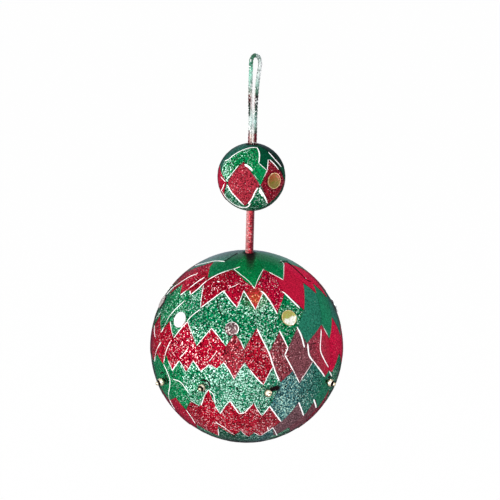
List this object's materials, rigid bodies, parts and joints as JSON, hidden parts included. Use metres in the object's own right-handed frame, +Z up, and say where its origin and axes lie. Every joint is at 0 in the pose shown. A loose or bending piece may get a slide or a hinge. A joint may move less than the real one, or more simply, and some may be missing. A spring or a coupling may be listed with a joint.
{
  "type": "hanging christmas ball ornament",
  "caption": "Hanging ornament: a small ball above a large ball on a looped cord, both covered in red and green cut glitter sheet with mirror discs and gold beads.",
  "frame": {"origin": "the place at the top of the cord loop where it hangs on its hook, on the balls' common axis", "axes": "+Z up along the cord; -Y is the front that the picture shows, +X its right"},
  "size_m": [0.0999, 0.1029, 0.2036],
  "materials": {
    "red_glitter": "gloss",
    "green_glitter": "gloss",
    "tube_glitter": "satin",
    "glitter_cord": "satin",
    "foam": "matte",
    "washer_steel": "satin",
    "mirror": "polished",
    "gold_mirror": "polished",
    "bead_gold": "polished",
    "pin_brass": "polished"
  },
  "bodies": {
    "cord": {"hanging_loop": "glitter_cord", "cord_strand_left": "glitter_cord", "cord_strand_right": "glitter_cord", "end_knot": "glitter_cord", "end_washer": "washer_steel"},
    "large_ball": {"large_core": "foam", "spacer_tube": "tube_glitter", "large_row_1_green_cap": "green_glitter", "large_row_2_red": "red_glitter", "large_row_3_green": "green_glitter", "large_row_4_red": "red_glitter", "large_row_5_green": "green_glitter", "large_row_6_red": "red_glitter", "large_row_7_green_base": "green_glitter", "mirror_disc_1": "mirror", "mirror_disc_2": "mirror", "mirror_disc_3": "mirror", "mirror_disc_4": "mirror", "mirror_disc_5": "mirror", "mirror_disc_6": "mirror", "mirror_disc_7": "mirror", "mirror_disc_8": "mirror", "gold_bead_1": "bead_gold", "gold_bead_2": "bead_gold", "gold_bead_3": "bead_gold", "gold_bead_4": "bead_gold", "gold_bead_5": "bead_gold", "gold_bead_6": "bead_gold", "gold_bead_7": "bead_gold", "gold_bead_8": "bead_gold", "bead_pin_1": "pin_brass", "bead_pin_2": "pin_brass", "bead_pin_3": "pin_brass", "bead_pin_4": "pin_brass", "bead_pin_5": "pin_brass", "bead_pin_6": "pin_brass", "bead_pin_7": "pin_brass", "bead_pin_8": "pin_brass"},
    "small_ball": {"small_core": "foam", "small_red_diamond_1": "red_glitter", "small_red_diamond_2": "red_glitter", "small_red_diamond_3": "red_glitter", "small_red_diamond_4": "red_glitter", "small_red_diamond_5": "red_glitter", "small_red_diamond_6": "red_glitter", "small_upper_petal_1": "green_glitter", "small_upper_petal_2": "green_glitter", "small_upper_petal_3": "green_glitter", "small_upper_petal_4": "green_glitter", "small_upper_petal_5": "green_glitter", "small_upper_petal_6": "green_glitter", "small_lower_petal_1": "green_glitter", "small_lower_petal_2": "green_glitter", "small_lower_petal_3": "green_glitter", "small_lower_petal_4": "green_glitter", "small_lower_petal_5": "green_glitter", "small_lower_petal_6": "green_glitter", "small_disc_1": "gold_mirror", "small_disc_2": "gold_mirror"}
  },
  "joints": [
    {"name": "large_ball_spin", "type": "hinge", "parent": "cord", "child": "large_ball", "pos_m": [0, 0, -0.1508], "axis": [0, 0, 1], "continuous": true},
    {"name": "small_ball_spin", "type": "hinge", "parent": "cord", "child": "small_ball", "pos_m": [0, 0, -0.0615], "axis": [0, 0, 1], "continuous": true}
  ]
}
